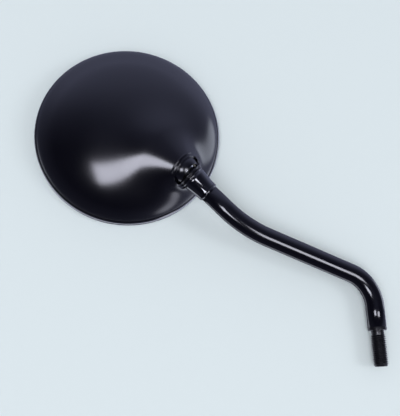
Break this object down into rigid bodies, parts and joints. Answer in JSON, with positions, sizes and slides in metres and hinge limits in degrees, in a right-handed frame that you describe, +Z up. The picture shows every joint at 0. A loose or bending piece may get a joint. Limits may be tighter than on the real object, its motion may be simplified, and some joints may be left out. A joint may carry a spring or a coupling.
{
  "type": "motorcycle mirror",
  "caption": "Round gloss black motorcycle mirror with a domed housing on a ball joint, a bent tube stem and a threaded mounting stud.",
  "frame": {"origin": "centre of the shoulder above the stud's thread, where the stem seats on its perch", "axes": "+Z up along the stud towards the stem, the stem bends in the XZ plane towards -X, the domed back faces -Y and the glass faces +Y"},
  "size_m": [0.2328, 0.057, 0.232],
  "materials": {
    "stem_paint": "gloss",
    "stud_black": "satin",
    "ball_steel": "polished",
    "collar_black": "gloss",
    "washer_rubber": "satin",
    "seat_nylon": "matte",
    "spring_steel": "satin",
    "cap_zinc": "satin",
    "housing_gloss": "gloss",
    "bezel_black": "gloss",
    "gasket_rubber": "matte",
    "glass": "gloss",
    "silver": "mirror",
    "foam": "matte",
    "plate_plastic": "matte",
    "screw_steel": "satin"
  },
  "bodies": {
    "stem": {"mount_stud": "stud_black", "stem_tube": "stem_paint", "ball_stud": "ball_steel", "stem_collar": "collar_black"},
    "washer": {"dust_washer": "washer_rubber"},
    "seat": {"front_seat": "seat_nylon", "rear_seat": "seat_nylon", "spring_plate": "spring_steel", "joint_spring": "spring_steel"},
    "head": {"bore_cap": "cap_zinc", "housing": "housing_gloss", "rim_bezel": "bezel_black", "glass_gasket": "gasket_rubber", "mirror_glass": "glass", "mirror_silver": "silver", "foam_pad": "foam", "backing_plate": "plate_plastic", "plate_screws": "screw_steel"}
  },
  "joints": [
    {"name": "stem_turn", "type": "hinge", "parent": "stem", "child": "washer", "pos_m": [-0.13187, 0, 0.10931], "axis": [0.7193, 0, -0.6947], "continuous": true},
    {"name": "ball_lean", "type": "hinge", "parent": "washer", "child": "seat", "pos_m": [-0.13187, 0, 0.10931], "axis": [0.6924, -0.0799, 0.717], "range_deg": [-0.8, 45]},
    {"name": "head_turn", "type": "hinge", "parent": "seat", "child": "head", "pos_m": [-0.13187, 0, 0.10931], "axis": [0.6451, -0.3766, -0.6649], "continuous": true}
  ]
}
